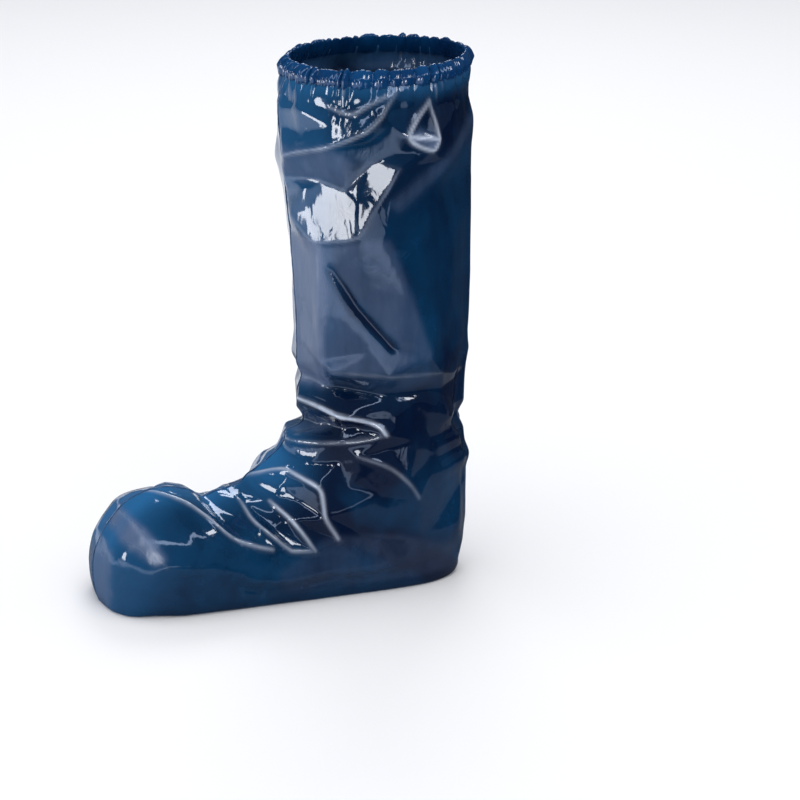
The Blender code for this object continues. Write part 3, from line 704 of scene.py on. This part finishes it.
def whitening_and_glints(side, film):
    """Film is painted pale where it is bent sharply outwards, most of all along its creases: partly
    stress whitening, partly painted highlight on the ridges.
    """
    normals = grid_normals(film)
    bend = np.zeros(film.shape[:2])
    for axis in (0, 1):
        along = np.gradient(film, axis=axis)
        length = np.maximum(np.linalg.norm(along, axis=2), 1e-5)
        turned = (np.gradient(normals, axis=axis) * along).sum(axis=2)
        bend = np.maximum(bend, turned / length ** 2)
    pale = BEND_PALE * rises(bend, PALE_FROM, PALE_FULL - PALE_FROM)
    if side > 0:
        _, _, crease_whitening_and_glint = near_side_facets(Chart(half_shell()))
        pale = np.maximum(pale, crease_whitening_and_glint)
    return pale


def inside(outline, y, z):
    """Which places lie inside an outline, both seen from the side."""
    held = np.zeros(y.shape, dtype=bool)
    for (y0, z0), (y1, z1) in zip(outline, outline[1:] + outline[:1]):
        crossed = (z0 > z) != (z1 > z)
        if z0 != z1:
            held ^= crossed & (y < y0 + (z - z0) * (y1 - y0) / (z1 - z0))
    return held


def haze(side):
    """How much haze and painted sheen one side's film gets, from its pockets."""
    shell = half_shell()
    forward, up = side_shares(shell)
    field = np.zeros_like(up)
    if side > 0:
        for pocket in POCKETS:
            field += pocket.haze * inside(pocket.outline, forward, up)
    else:
        field += FAR_HAZE * restless(shell[..., 1], shell[..., 2])
    return softened(field, HAZE_PASSES)


def painted_glow(points):
    """Painted glow: where the film stands off what is worn inside it, its colour is painted lighter
    for the light that would come through it.
    """
    forward, up = side_shares(points)
    depth = (HEEL_Y - points[..., 1]) / LEG_DEPTH
    edge = 1 - smoothstep(np.abs(points[..., 0]) / 0.046)
    toe = rises(forward, 0.78, 0.18)
    toe_top = rises(forward, 0.60, 0.10) * edge
    hem = rises(up, 0.955, 0.05)
    shin = rises(depth, 0.72, 0.22) * rises(points[..., 2], 0.15, 0.05)
    from_crook = np.hypot((forward - 0.56) * FOOT_LENGTH, (up - 0.27) * BOOT_HEIGHT)
    crook = 1 - smoothstep(from_crook / 0.055)
    total = 0.45 * toe + 0.8 * toe_top + 0.5 * hem + 0.4 * shin + 0.2 * edge + crook
    return np.clip(total, 0, 1)


def clinging(points):
    """Where the film lies close on dark things inside it: the ankle, the heel, the calf."""
    forward, up = side_shares(points)
    ankle = hump(up, 0.33, 0.10) * (1 - rises(forward, 0.44, 0.12))
    calf = (1 - rises(forward, 0.02, 0.22)) * rises(up, 0.25, 0.15)
    arch = hump(up - 0.39 * forward, -0.014, 0.040)
    arch *= smoothstep(forward / 0.10) * (1 - rises(forward, 0.36, 0.14))
    instep = hump(forward, 0.32, 0.10) * hump(up, 0.23, 0.04)
    crumpled = hump(forward, 0.50, 0.09) * hump(up, 0.19, 0.07)
    collar = hump(up, 0.93, 0.04) * (1 - rises(forward, 0.36, 0.1))
    total = ankle + 0.25 * calf + 0.95 * arch + 0.5 * instep + 0.6 * crumpled + 0.25 * collar
    return np.clip(total, 0, 1)


# Meshes.
def grid_faces(rows, columns, close_rows=False, close_columns=False, start=0, flip=False):
    faces = []
    for i in range(rows if close_rows else rows - 1):
        for j in range(columns if close_columns else columns - 1):
            a = start + i * columns + j
            b = start + i * columns + (j + 1) % columns
            c = start + (i + 1) % rows * columns + (j + 1) % columns
            d = start + (i + 1) % rows * columns + j
            faces.append((d, c, b, a) if flip else (a, b, c, d))
    return faces


def outward(mesh):
    """Turns a closed mesh's faces outwards if they all point in."""
    volume = 0.0
    mesh.calc_loop_triangles()
    for triangle in mesh.loop_triangles:
        a, b, c = (mesh.vertices[i].co for i in triangle.vertices)
        volume += a.dot(b.cross(c))
    if volume < 0:
        mesh.flip_normals()


def add_piece(name, vertices, faces, material, smooth_angle=60):
    mesh = bpy.data.meshes.new(name)
    mesh.from_pydata([tuple(v) for v in vertices], [], faces)
    mesh.materials.append(material)
    outward(mesh)
    mesh.shade_smooth()
    if smooth_angle:
        mesh.set_sharp_from_angle(angle=math.radians(smooth_angle))
    obj = bpy.data.objects.new(name, mesh)
    bpy.context.scene.collection.objects.link(obj)
    return obj


def add_attribute(obj, name, values):
    attribute = obj.data.attributes.new(name, "FLOAT", "POINT")
    attribute.data.foreach_set("value", np.asarray(values, dtype=np.float32).ravel())


def make_film(name, side, material):
    """A film panel: a thin closed wall whose outer face carries the folds."""
    shell = film_shell(side)
    normals = grid_normals(shell)
    inner = shell - normals * FILM_THICKNESS
    inner[..., 2] = np.maximum(inner[..., 2], SOLE_Z + FILM_THICKNESS)
    squeeze = 1 - EDGE_GAP / (FOOT_WIDTH / 2)
    walls = []
    for wall in (shell, inner):
        wall = wall.copy()
        wall[..., 0] = side * (EDGE_GAP + np.maximum(wall[..., 0], 0.0) * squeeze)
        walls.append(wall)
    columns = SIDE_SEGMENTS + 1
    count = RINGS * columns
    faces = grid_faces(RINGS, columns)
    faces += grid_faces(RINGS, columns, start=count, flip=True)
    border = list(range(columns))
    border += [i * columns + columns - 1 for i in range(1, RINGS)]
    border += [(RINGS - 1) * columns + j for j in range(columns - 2, -1, -1)]
    border += [i * columns for i in range(RINGS - 2, 0, -1)]
    for a, b in zip(border, border[1:] + border[:1]):
        faces.append((b, a, a + count, b + count))
    points = np.concatenate([wall.reshape(-1, 3) for wall in walls])
    piece = add_piece(name, swayed(points), faces, material, smooth_angle=0)
    # Painted glow: the film is painted lighter where light would come through it.
    add_attribute(piece, "painted_glow", painted_glow(points))
    # Pockets paint a lavender sheen, a painted reflection, into the colour and blur the gloss.
    pockets = np.tile(haze(side).ravel(), 2)
    add_attribute(piece, "haze", np.clip(pockets, 0, 1))
    # Pale lines: partly stress whitening, partly painted highlight along ridges and creases.
    add_attribute(piece, "pale", np.tile(whitening_and_glints(side, shell).ravel(), 2))
    # A pocket below zero adds to the darkening here: painted shade along a crease.
    add_attribute(piece, "clinging", np.clip(clinging(points) - pockets, 0, 1))
    piece.cycles.shadow_terminator_geometry_offset = 0.8
    piece.cycles.shadow_terminator_offset = 0.2
    return piece


def swayed(points):
    """The leg leans a little to and fro, as worn film does, but not at its rim or sole."""
    z = points[..., 2]
    held = smoothstep((z - 0.03) / 0.08) * smoothstep((RIM_HELD_Z - 0.01 - z) / 0.09)
    moved = points.copy()
    moved[..., 0] += SWAY * held * np.sin(z * SWAY_TURNS + 0.6)
    return moved


def centre_line():
    """The film's edge in the centre plane, from the front rim over the toe to the back rim."""
    shell = film_shell(1)
    line = np.concatenate([shell[:, 0], shell[-1, 1:-1], shell[::-1, -1]])
    line[:, 0] = 0.0
    return line


def make_fin(name, material):
    """The welded edge: a thin fin that stands along the centre line, wavy and uneven."""
    line = centre_line()
    tangent = np.gradient(line, axis=0)
    tangent /= np.linalg.norm(tangent, axis=1)[:, None]
    away = np.stack([np.zeros(len(line)), -tangent[:, 2], tangent[:, 1]], axis=1)
    if away[10, 1] > 0:
        away = -away
    distance = run_along(line)
    uneven = 1 + 0.18 * np.sin(distance * 310) + 0.14 * np.sin(distance * 733 + 1.3)
    lift = smoothstep((line[:, 2] - SOLE_Z) / SOLE_FADE)
    lift *= smoothstep((BOOT_HEIGHT - 0.012 - line[:, 2]) / 0.010)
    rise = FIN_RISE * uneven * lift + 0.0001
    sway = 0.0003 * np.sin(distance * 190) + 0.0002 * np.sin(distance * 433 + 0.7)
    profile = [(-1.0, 0.0), (-0.9, 0.5), (-0.5, 0.95), (0.0, 1.0), (0.5, 0.95), (0.9, 0.5),
               (1.0, 0.0), (1.0, -0.3), (-1.0, -0.3)]
    points = []
    for k in range(len(line)):
        for across, up in profile:
            height = up * rise[k] if up >= 0 else up * FIN_ROOT
            x = across * FIN_THICKNESS / 2 + sway[k] * max(up, 0.0) * lift[k]
            points.append(line[k] + away[k] * height + np.array([x, 0.0, 0.0]))
    faces = grid_faces(len(line), len(profile), close_columns=True)
    last = len(points) - len(profile)
    faces.append(tuple(range(len(profile))))
    faces.append(tuple(last + i for i in range(len(profile))))
    return add_piece(name, swayed(np.array(points)), faces, material)


def rim_frames(count):
    """Points round the middle of the film's top edge, each with its out and up."""
    loops = []
    near = half_shell()
    for ring in (0, 4):
        loop = np.concatenate([near[ring], (near[ring] * [-1, 1, 1])[-2::-1]])
        places = np.linspace(0, len(loop) - 1, count + 1)[:-1]
        loops.append(np.stack([np.interp(places, range(len(loop)), loop[:, i]) for i in range(3)],
                              axis=1))
    edge, lower = loops
    up = edge - lower
    up /= np.linalg.norm(up, axis=1)[:, None]
    tangent = np.roll(edge, -1, axis=0) - np.roll(edge, 1, axis=0)
    out = np.cross(tangent, up)
    out /= np.linalg.norm(out, axis=1)[:, None]
    if (out[0] * (edge[0] - edge.mean(axis=0))).sum() < 0:
        out = -out
    return edge, out, up


def make_band(name, material, sections, frames):
    """A closed band round the rim: each station's section goes out and up from the edge."""
    edge, out, up = frames
    points = []
    for k, section in enumerate(sections):
        for across, height in section:
            points.append(edge[k] + out[k] * across + up[k] * height)
    faces = grid_faces(len(sections), len(sections[0]), close_rows=True, close_columns=True)
    return add_piece(name, points, faces, material)


def casing_ring(lobe, fine, wall):
    """One wall of the casing's section, from its outer lower lip over the top to the inside."""
    puff = 0.0004 + 0.0028 * lobe + 0.0009 * fine
    top = CASING_HEIGHT - CASING_OVERLAP + 0.0026 * lobe + 0.0010 * fine - wall
    low = -CASING_OVERLAP * (0.42 + 0.62 * lobe + 0.20 * fine)
    base_out = GATHER_DEPTH * (lobe - GATHER_LEVEL)
    ring = [(0.0005 + base_out - wall, low), (0.0008 + base_out + puff * 0.35 - wall, low * 0.6)]
    for step in range(CASING_TURNS + 1):
        across = math.cos(math.pi * step / CASING_TURNS)
        high = math.sin(math.pi * step / CASING_TURNS)
        width = 0.0012 + puff * (1.0 if across > 0 else 0.45) - wall
        height = top * high if high > 0 else 0.0
        ring.append((across * width + base_out * (0.5 + 0.5 * across), height * 0.9))
    ring.append((-0.0016 + wall, -CASING_OVERLAP))
    return ring


def make_casing(name, material):
    """The casing: film turned over the elastic, blown into uneven gathers."""
    shares = np.arange(CASING_STATIONS) / CASING_STATIONS
    lobe, _ = gather_lobes(shares)
    fine, _ = gather_lobes(shares, seed=12, count=110)
    sections = []
    for k in range(CASING_STATIONS):
        outer = casing_ring(lobe[k], fine[k], 0.0)
        inner = casing_ring(lobe[k], fine[k], CASING_WALL)
        sections.append(outer + inner[::-1])
    return make_band(name, material, sections, rim_frames(CASING_STATIONS))


def make_elastic(name, material):
    """The elastic inside the casing: a ribbed woven band."""
    sections = []
    for k in range(ELASTIC_STATIONS):
        ribs = RIB_DEPTH * math.cos(math.pi * k)
        outer = []
        for step in range(ELASTIC_ROWS):
            half = ELASTIC_HALF + ribs + THREAD_DEPTH * math.cos(math.pi * step)
            outer.append((half, ELASTIC_LOW + ELASTIC_HEIGHT * step / (ELASTIC_ROWS - 1)))
        inner = [(-half, height) for half, height in outer[::-1]]
        sections.append(outer + inner)
    return make_band(name, material, sections, rim_frames(ELASTIC_STATIONS))


# Materials.
def new_material(name):
    material = bpy.data.materials.new(name)
    material.use_nodes = True
    tree = material.node_tree
    return material, tree, tree.nodes["Principled BSDF"]


def node(tree, kind, inputs, output=0, **settings):
    """Adds a shader node and gives one output. Its inputs are values or other outputs."""
    made = tree.nodes.new("ShaderNode" + kind)
    for setting, value in settings.items():
        setattr(made, setting, value)
    for socket, value in inputs.items():
        if isinstance(value, bpy.types.NodeSocket):
            tree.links.new(value, made.inputs[socket])
        else:
            made.inputs[socket].default_value = value
    return made.outputs[output]


def mesh_value(tree, name):
    """A value that the film's mesh carries, such as airy."""
    return node(tree, "Attribute", {}, "Fac", attribute_name=name)


def position(tree, **mapping):
    """The place on the cover, turned or stretched as asked."""
    place = node(tree, "NewGeometry", {}, "Position")
    return node(tree, "Mapping", {"Vector": place, **mapping})


def times_plus(tree, value, factor, added, clamped=False):
    """A value times a factor, plus what is added."""
    inputs = {0: value, 1: factor, 2: added}
    return node(tree, "Math", inputs, operation="MULTIPLY_ADD", use_clamp=clamped)


def mixed(tree, share, first, second):
    """Two colours mixed."""
    inputs = {"Factor": share, "A": first, "B": second}
    return node(tree, "Mix", inputs, "Result", data_type="RGBA")


def mixed_by_attribute(tree, colour, other, name, most):
    """A colour mixed towards another one in uneven streaks, as far as a mesh attribute says."""
    lie = position(tree, Rotation=(math.radians(-32), 0.0, 0.0), Scale=(1.0, 1.0, 0.22))
    streak = node(tree, "TexNoise", {"Vector": lie, "Scale": 75.0, "Detail": 4.0}, "Fac")
    uneven = node(tree, "MapRange", {"Value": streak, "From Min": 0.30, "From Max": 0.70,
                                     "To Min": most * 0.62, "To Max": most * 1.25})
    share = node(tree, "Math", {0: mesh_value(tree, name), 1: uneven}, operation="MULTIPLY",
                 use_clamp=True)
    return mixed(tree, share, colour, (*other, 1.0))


def film_colour(tree, stretched, deep, middle, light):
    """Deep where the film clings, painted lighter where light would come through, with a painted
    lavender sheen and pale lines of stress whitening and painted highlight in places.
    """
    cloud = node(tree, "TexNoise", {"Vector": stretched, "Scale": 13.0, "Detail": 5.0,
                                    "Roughness": 0.62, "Distortion": 0.6}, "Fac")
    mottle = node(tree, "MapRange", {"Value": cloud, "From Min": 0.38, "From Max": 0.62,
                                     "To Min": 0.20})
    # Where a pocket below zero adds to the clinging value, the darkening is painted shade along a
    # crease.
    loose = times_plus(tree, mesh_value(tree, "clinging"), -CLINGING_DARKENS, mottle, clamped=True)
    worn = mixed(tree, loose, (*deep, 1.0), (*middle, 1.0))
    # Painted glow, mixed in where light would come through the film.
    tint = mixed(tree, mesh_value(tree, "painted_glow"), worn, (*light, 1.0))
    # Painted sheen: a lavender painted reflection mixed in by the pockets.
    with_painted_sheen = mixed_by_attribute(tree, tint, (0.120, 0.172, 0.305), "haze", 1.0)
    # Pale lines of stress whitening and painted highlight.
    return mixed_by_attribute(tree, with_painted_sheen, (0.62, 0.70, 0.85), "pale", 0.85)


def film_bump(tree, stretched):
    """Soft ripples and fine creases."""
    ripple = node(tree, "TexNoise", {"Vector": stretched, "Scale": 70.0, "Detail": 2.0,
                                     "Distortion": 0.8}, "Fac")
    crease = node(tree, "TexVoronoi", {"Vector": stretched, "Scale": 55.0}, "Distance",
                  feature="DISTANCE_TO_EDGE")
    sharp = node(tree, "MapRange", {"Value": crease, "From Max": 0.12})
    relief = times_plus(tree, sharp, 0.10, ripple)
    return node(tree, "Bump", {"Strength": 0.35, "Distance": 0.0012, "Height": relief})


def film_material(name, deep, middle, light, clear=0.08):
    """Glossy dyed film, through which a little light comes."""
    material, tree, shader = new_material(name)
    stretched = position(tree, Scale=(1.0, 1.0, 0.6))
    rub = node(tree, "TexNoise", {"Vector": stretched, "Scale": 90.0, "Detail": 3.0}, "Fac")
    rough = node(tree, "MapRange", {"Value": rub, "To Min": 0.03, "To Max": 0.13})
    blurred = times_plus(tree, mesh_value(tree, "haze"), HAZE_BLURS, rough)
    bump = film_bump(tree, stretched)
    for socket, value in (("Base Color", film_colour(tree, stretched, deep, middle, light)),
                          ("Roughness", blurred), ("Coat Roughness", blurred),
                          ("Normal", bump), ("Coat Normal", bump)):
        tree.links.new(value, shader.inputs[socket])
    for socket, value in (("IOR", 1.55), ("Specular IOR Level", 1.0), ("Coat Weight", 0.30),
                          ("Specular Tint", (0.54, 0.70, 1.0, 1.0))):
        shader.inputs[socket].default_value = value
    glow = node(tree, "BsdfTransparent", {"Color": (0.10, 0.30, 0.62, 1.0)})
    both = node(tree, "MixShader", {"Fac": clear, 1: shader.outputs["BSDF"], 2: glow})
    tree.links.new(both, tree.nodes["Material Output"].inputs["Surface"])
    return material


def elastic_material(name):
    """Woven elastic: ribs along the band, crossed by its threads."""
    material, tree, shader = new_material(name)
    place = node(tree, "NewGeometry", {}, "Position")
    weave = node(tree, "TexWave", {"Vector": place, "Scale": 900.0, "Distortion": 1.2}, "Fac",
                 bands_direction="Z")
    colour = tree.nodes.new("ShaderNodeValToRGB")
    colour.color_ramp.elements[0].color = (0.030, 0.090, 0.230, 1.0)
    colour.color_ramp.elements[1].color = (0.110, 0.260, 0.520, 1.0)
    tree.links.new(weave, colour.inputs["Fac"])
    bump = node(tree, "Bump", {"Strength": 0.5, "Distance": 0.0003, "Height": weave})
    tree.links.new(colour.outputs["Color"], shader.inputs["Base Color"])
    tree.links.new(bump, shader.inputs["Normal"])
    shader.inputs["Roughness"].default_value = 0.85
    return material


# The studio. Its floor and its dark sheet of painted shade, seen only in the gloss, reach this far
# from the middle.
STUDIO_REACH = 9.0

# These give a dark sheet on the floor that shows only in the gloss, painted shade in the
# reflections round the cover: where it starts beside, behind and in front of the cover, how soft
# its edge is, and how dark and wide it is close round the cover.
FLAG_NEAR_X = 0.13
FLAG_BEHIND_Y = 0.32
FLAG_FRONT_Y = -0.30
FLAG_FRONT_SLOPE = 0.28
FLAG_SOFT = 0.16
FLAG_CLOSE = 0.85
FLAG_CLOSE_FROM = 0.46
FLAG_CLOSE_TO = 0.68
FLAG_LIFT = 0.001

# Lights that show only in the gloss. azimuth and elevation say in degrees from where they
# shine, width, height and aim_z are in metres and power is in watts.
GlossLight = namedtuple("GlossLight", "name azimuth elevation width height aim_z power")
GLOSS_LIGHTS = [
    GlossLight("window",          1, -5, 0.36, 0.31, 0.33, 3.4),
    GlossLight("second_window",  52,  3, 0.32, 0.30, 0.34, 3.0),
    GlossLight("third_window",  128, 36, 0.30, 0.30, 0.40, 3.0),
    GlossLight("slit",           24, 18, 0.07, 0.45, 0.40, 1.3),
]
GLOSS_LIGHT_DISTANCE = 1.3
GLOSS_LIGHT_COLOUR = (1.0, 0.84, 0.66)

CAMERA_AZIMUTH = 73
CAMERA_HEIGHT = 1.08
CAMERA_DISTANCE = 3.0
CAMERA_LENS = 168
CAMERA_AIM = Vector((0.0406, 0.0942, 0.1618))


def make_ground(name, z, colour, roughness, specular):
    """A wide square at a height, with its material's tree and shader."""
    mesh = bpy.data.meshes.new(name)
    corners = [(-1, -1), (1, -1), (1, 1), (-1, 1)]
    points = [(x * STUDIO_REACH, y * STUDIO_REACH, z) for x, y in corners]
    mesh.from_pydata(points, [], [(0, 1, 2, 3)])
    material, tree, shader = new_material(name)
    shader.inputs["Base Color"].default_value = (*colour, 1.0)
    shader.inputs["Roughness"].default_value = roughness
    shader.inputs["Specular IOR Level"].default_value = specular
    mesh.materials.append(material)
    obj = bpy.data.objects.new(name, mesh)
    bpy.context.scene.collection.objects.link(obj)
    return obj, tree, shader


def ramp(tree, value, low, high):
    """From 0 where a value is low smoothly to 1 where it is high."""
    return node(tree, "MapRange", {"Value": value, "From Min": low, "From Max": high},
                interpolation_type="SMOOTHSTEP")


def arithmetic(tree, operation, first, second):
    """Two values joined by one operation."""
    return node(tree, "Math", {0: first, 1: second}, operation=operation)


def make_gloss_shade_sheet(name):
    """A dark sheet on the floor round the cover, which shows only in its gloss: painted shade in
    the reflections.
    """
    gloss_shade_sheet, tree, shader = make_ground(name, SOLE_Z + FLAG_LIFT, (0.020, 0.026, 0.040), 0.9, 0.1)
    place = node(tree, "NewGeometry", {}, "Position")
    x, y = (node(tree, "SeparateXYZ", {"Vector": place}, axis) for axis in "XY")
    beside = ramp(tree, x, FLAG_NEAR_X, FLAG_NEAR_X + FLAG_SOFT)
    behind = ramp(tree, y, FLAG_BEHIND_Y, FLAG_BEHIND_Y + FLAG_SOFT)
    sloped = arithmetic(tree, "MULTIPLY", x, FLAG_FRONT_SLOPE)
    past = arithmetic(tree, "SUBTRACT", y, sloped)
    front = ramp(tree, past, FLAG_FRONT_Y, FLAG_FRONT_Y + FLAG_SOFT)
    covered = arithmetic(tree, "MAXIMUM", arithmetic(tree, "MULTIPLY", beside, front), behind)
    distance = node(tree, "VectorMath", {0: place}, "Value", operation="LENGTH")
    away = ramp(tree, distance, FLAG_CLOSE_FROM, FLAG_CLOSE_TO)
    close = arithmetic(tree, "MULTIPLY", arithmetic(tree, "SUBTRACT", 1.0, away), FLAG_CLOSE)
    covered = arithmetic(tree, "MAXIMUM", covered, close)
    bare = node(tree, "BsdfTransparent", {})
    both = node(tree, "MixShader", {"Fac": covered, 1: bare, 2: shader.outputs["BSDF"]})
    tree.links.new(both, tree.nodes["Material Output"].inputs["Surface"])
    gloss_shade_sheet.visible_camera = False
    gloss_shade_sheet.visible_diffuse = False
    gloss_shade_sheet.visible_shadow = False
    gloss_shade_sheet.visible_transmission = False


def make_world():
    """A light surround that is darker and bluer in the gloss."""
    world = bpy.data.worlds.new("studio")
    world.use_nodes = True
    tree = world.node_tree
    background = tree.nodes["Background"]
    background.inputs["Color"].default_value = (0.93, 0.95, 1.0, 1.0)
    background.inputs["Strength"].default_value = 0.62
    gloss = node(tree, "Background", {"Color": (0.55, 0.75, 1.0, 1.0), "Strength": 0.11})
    in_gloss = node(tree, "LightPath", {}, "Is Glossy Ray")
    both = node(tree, "MixShader", {"Fac": in_gloss, 1: background.outputs["Background"], 2: gloss})
    tree.links.new(both, tree.nodes["World Output"].inputs["Surface"])
    bpy.context.scene.world = world


def make_light(name, azimuth, elevation, distance, width, height, power, aim_z=0.2):
    """An area light that faces the cover from a direction round it, in degrees."""
    light = bpy.data.lights.new(name, "AREA")
    light.shape = "RECTANGLE"
    light.size = width
    light.size_y = height
    light.energy = power
    obj = bpy.data.objects.new(name, light)
    bpy.context.scene.collection.objects.link(obj)
    a = math.radians(azimuth)
    e = math.radians(elevation)
    back = Vector((math.sin(a) * math.cos(e), -math.cos(a) * math.cos(e), math.sin(e)))
    obj.location = Vector((0, 0.05, aim_z)) + back * distance
    obj.rotation_euler = (-back).to_track_quat("-Z", "Y").to_euler()
    return obj


def make_studio():
    make_ground("floor", SOLE_Z, (0.90, 0.90, 0.91), 0.7, 0.2)
    # A dark sheet seen only in the gloss: painted shade in the reflections.
    make_gloss_shade_sheet("gloss_shade_sheet")
    make_world()
    overhead = make_light("overhead", 60, 80, 3.2, 3.4, 3.4, 62)
    overhead.visible_glossy = False
    for row in GLOSS_LIGHTS:
        light = make_light(row.name, row.azimuth, row.elevation, GLOSS_LIGHT_DISTANCE,
                           row.width, row.height, row.power, row.aim_z)
        light.data.color = GLOSS_LIGHT_COLOUR
        light.visible_diffuse = False
    make_light("strip", 76, 44, 2.4, 3.0, 0.26, 7)
    make_light("back", -110, 40, 3.0, 1.2, 1.2, 20)
    bpy.context.scene.view_settings.view_transform = "Standard"


def make_camera():
    data = bpy.data.cameras.new("camera")
    data.sensor_width = 36
    data.lens = CAMERA_LENS
    camera = bpy.data.objects.new("camera", data)
    bpy.context.scene.collection.objects.link(camera)
    a = math.radians(CAMERA_AZIMUTH)
    x = math.sin(a) * CAMERA_DISTANCE
    y = -math.cos(a) * CAMERA_DISTANCE
    camera.location = (x, y, CAMERA_HEIGHT)
    camera.rotation_euler = (CAMERA_AIM - camera.location).to_track_quat("-Z", "Y").to_euler()
    bpy.context.scene.camera = camera


make_camera()
make_studio()

# Each film's third colour is painted glow, the lighter colour mixed in where light would come
# through.
film = film_material("film", (0.0006, 0.0060, 0.028), (0.0020, 0.040, 0.108),
                     (0.020, 0.140, 0.340))
# The weld's film is paler than the panels': partly for the flattened double film, partly painted
# light that lifts the shade on the fin.
weld_film = film_material("weld_film", (0.050, 0.110, 0.220), (0.070, 0.140, 0.280),
                          (0.080, 0.180, 0.340))
casing_film = film_material("casing_film", (0.0015, 0.022, 0.090), (0.004, 0.060, 0.190),
                            (0.010, 0.12, 0.33), clear=0.12)
woven = elastic_material("woven_elastic")

for name, side in (("right", 1), ("left", -1)):
    panel = make_film(f"{name}_film", side, film)
    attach(panel, "root")
    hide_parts(f"{name}_panel")

fin = make_fin("weld_fin", weld_film)
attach(fin, "root")
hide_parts("edge_weld")

casing = make_casing("gathered_casing", casing_film)
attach(casing, "root")
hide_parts("hem_casing")

band = make_elastic("elastic_band", woven)
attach(band, "root")
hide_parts("elastic")
